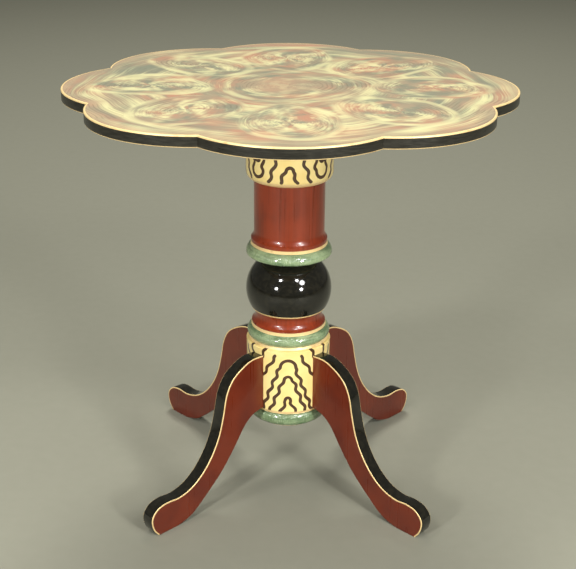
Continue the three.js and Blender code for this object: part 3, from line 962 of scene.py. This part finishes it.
for side, sign in (("right", 1), ("left", -1)):
    node = f"pivot_pin_{side}"
    low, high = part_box(node)
    length, radius = (high.x - low.x) / MM, (high.z - low.z) / 2 / MM
    tip = arc(0, length - 3, radius, 3, 37, 90, 6)
    pin = [(0, 0), (radius - 0.8, 0), (radius, 0.8), (radius, length - 1.2), *tip]
    start = (low.x if sign > 0 else high.x, (low.y + high.y) / 2, (low.z + high.z) / 2)
    turned = laid(spun(pin, SMALL_STEPS, closed=False), (sign, 0, 0), start)
    finished(f"{node}_turned", turned, "column", [node], [STEEL])

low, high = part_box("catch_knob")
HEAD_R, KNOB_L = (high.x - low.x) / 2 / MM, (high.z - low.z) / MM
knob = [
    (0, 0), *arc(0, 2.2, HEAD_R * 0.86, 2.2, -84, -10, 8),
    *arc(HEAD_R - 1.6, 4.4, 1.6, 1.6, -50, 60, 8),
    *arc(HEAD_R + 1.0, 11.2, HEAD_R - 1.5, 5.2, 250, 185, 8), (2.5, 12), (2.5, KNOB_L), (0, KNOB_L),
]
middle = ((low.x + high.x) / 2, (low.y + high.y) / 2, low.z)
turned = laid(spun(knob, SMALL_STEPS, closed=False), (0, 0, 1), middle)
finished("catch_knob_turned", turned, "bolt", ["catch_knob"], [BRASS])

# %% [markdown]
# ## Screws
# A screw is turned standing on its head. A boolean could take the slot out, but four cuts across
# the head mark it out more cleanly, and its floor is then pushed in.

# %% Turn the screws and cut their slots
SCREW_STEPS = 24
SLOT_HALF, SLOT_REACH, SLOT_DEPTH = 0.11, 0.8, 0.24  # shares of the head's radius


def screw_outline(head, length):
    shank, rim = head * 0.48, 0.6
    under_head = head - shank + rim
    thread_from = under_head + length * 0.25
    thread = ridged(shank, thread_from + 0.2, length - shank * 2.5, shank * 0.3, shank * 0.9)
    return [
        (0, 0), (head * 0.95, 0), (head, rim * 0.5), (head, rim),
        (shank * 0.9, under_head), (shank * 0.9, thread_from), *thread, (0, length),
    ]


def slotted(bm, head):
    """Cuts the driver's slot into a head of that radius."""
    half, reach = head * SLOT_HALF, head * SLOT_REACH
    for axis, away in ((0, half), (1, reach)):
        for sign in (-1, 1):
            plane = [0.0, 0.0, 0.0]
            plane[axis] = sign
            place = [v * away * MM for v in plane]
            bmesh.ops.bisect_plane(bm, geom=everything(bm), plane_co=place, plane_no=plane)
    floor = []
    for face in bm.faces:
        centre = face.calc_center_median() / MM
        if centre.z < 1e-3 and abs(centre.x) < half and abs(centre.y) < reach:
            floor.append(face)
    pushed = bmesh.ops.extrude_face_region(bm, geom=floor)["geom"]
    bmesh.ops.translate(bm, verts=verts_in(pushed), vec=(0, 0, head * SLOT_DEPTH * MM))
    bmesh.ops.delete(bm, geom=floor, context="FACES_ONLY")


def wood_screw(node, body, point, finish):
    """A slotted, countersunk screw in a CAD screw's place, whose point faces that way."""
    low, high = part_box(node)
    sizes = sorted((high - low) / MM)
    length, head = sizes[2], sizes[1] / 2
    bm = spun(screw_outline(head, length), SCREW_STEPS, closed=False)
    bmesh.ops.remove_doubles(bm, verts=bm.verts, dist=WELD)
    slotted(bm, head)
    start = (low + high) / 2 - Vector(point) * length / 2 * MM
    return finished(node + "_slotted", laid(bm, point, start), body, [node], [finish])


for side in ("right", "left"):
    for i in (1, 2, 3):
        wood_screw(f"batten_{side}_screw_{i}", "top", (0, 0, 1), STEEL)
for i in (1, 2, 3, 4):
    wood_screw(f"block_screw_{i}", "column", (0, 0, -1), STEEL)
    wood_screw(f"catch_screw_{i}", "top", (0, 0, 1), BRASS)
for i in (1, 2):
    wood_screw(f"keeper_screw_{i}", "column", (0, -1, 0), BRASS)

# %% [markdown]
# ## Floor and light
# The floor is a plain pale disc, big enough to fill the view. Gloss needs something to reflect, so
# six softboxes stand in front, where the small bright spots on the ball and the rings ask for them.
# A broad one overhead and a strong one behind, which lights the far floor, are hidden from
# reflections: they brighten the paint and make no glare on the top. A picture of a room could be
# reflected instead, but lamps are easier to move.

# %% Floor and lamps
FLOOR_R = 16


def pale_floor():
    f = Finish("pale_floor")
    grain = f.noise(f.place(), scale=40, detail=3)
    pale = f.mix(grain, (0.215, 0.211, 0.160), (0.232, 0.228, 0.175))
    finish = f.paint({"Base Color": pale, "Roughness": 0.75})
    bm = bmesh.new()
    bmesh.ops.create_circle(bm, cap_ends=True, radius=FLOOR_R, segments=96)
    mesh = bpy.data.meshes.new("floor")
    bm.to_mesh(mesh)
    bm.free()
    mesh.materials.append(finish)
    floor = bpy.data.objects.new("floor", mesh)
    bpy.context.scene.collection.objects.link(floor)
    floor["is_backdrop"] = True


def softbox(name, place, aim, size, power, mirrored):
    """A round lamp. One that isn't mirrored lights the paint, but makes no glare on it."""
    light = bpy.data.lights.new(name, "AREA")
    light.shape, light.size, light.energy = "DISK", size, power
    lamp = bpy.data.objects.new(name, light)
    bpy.context.scene.collection.objects.link(lamp)
    lamp.visible_glossy = mirrored
    lamp.location = place
    lamp.rotation_euler = (Vector(aim) - Vector(place)).to_track_quat("-Z", "Y").to_euler()


pale_floor()
BALL_MIDDLE = (0, 0, 0.37)  # where the lamps aim; bearings are from straight in front, to the right
for name, bearing, rise, away, size, power, mirrored in (
    ("key_left", -60, 57, 3.0, 0.5, 18, True),
    ("main_right", 42, 33, 2.6, 0.6, 22, True),
    ("high_left", -28, 42, 2.6, 0.3, 14, True),
    ("high_right", 28, 42, 2.6, 0.3, 14, True),
    ("low_left", -34, 17, 2.6, 0.3, 34, True),
    ("low_right", 34, 16, 2.6, 0.3, 34, True),
    ("overhead", 180, 78, 3.2, 1.4, 16, False),
    ("backdrop", 180, 57, 6.3, 2.0, 340, False),
):
    east, up = math.radians(bearing), math.radians(rise)
    reach = Vector((math.sin(east) * math.cos(up), -math.cos(east) * math.cos(up), math.sin(up))) * away
    softbox(name, Vector(BALL_MIDDLE) + reach, BALL_MIDDLE, size, power, mirrored)

ROOM = (0.80, 0.80, 0.68)
world = bpy.data.worlds.new("studio")
world.use_nodes = True
room = world.node_tree.nodes["Background"].inputs
room["Color"].default_value = (*ROOM, 1)
room["Strength"].default_value = 0.18
bpy.context.scene.world = world

# %% [markdown]
# ## Camera
# The camera looks down a little from about two metres away, with a long lens and no depth of field.
# It could be aimed with a Track To constraint, but a constraint would hold it back in other views.
# The Standard view transform shows the paint in the colours that were set.

# %% Camera
CAMERA_PLACE = (-0.0034, -2.0062, 1.1906)
PITCH, YAW, ROLL = 0.3855, 0.001, 0.0085
LENS, SENSOR = 74.7, 36

lens = bpy.data.cameras.new("camera")
lens.lens, lens.sensor_width = LENS, SENSOR
camera = bpy.data.objects.new("camera", lens)
bpy.context.scene.collection.objects.link(camera)
level = Euler((math.pi / 2 - PITCH, 0, -YAW)).to_matrix().to_4x4()
camera.matrix_world = Matrix.Translation(CAMERA_PLACE) @ level @ Matrix.Rotation(ROLL, 4, "Z")
bpy.context.scene.camera = camera
bpy.context.scene.view_settings.view_transform = "Standard"

# %% Sizes, and the end
low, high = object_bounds()
print("visual box", [round(v, 4) for v in high - low])
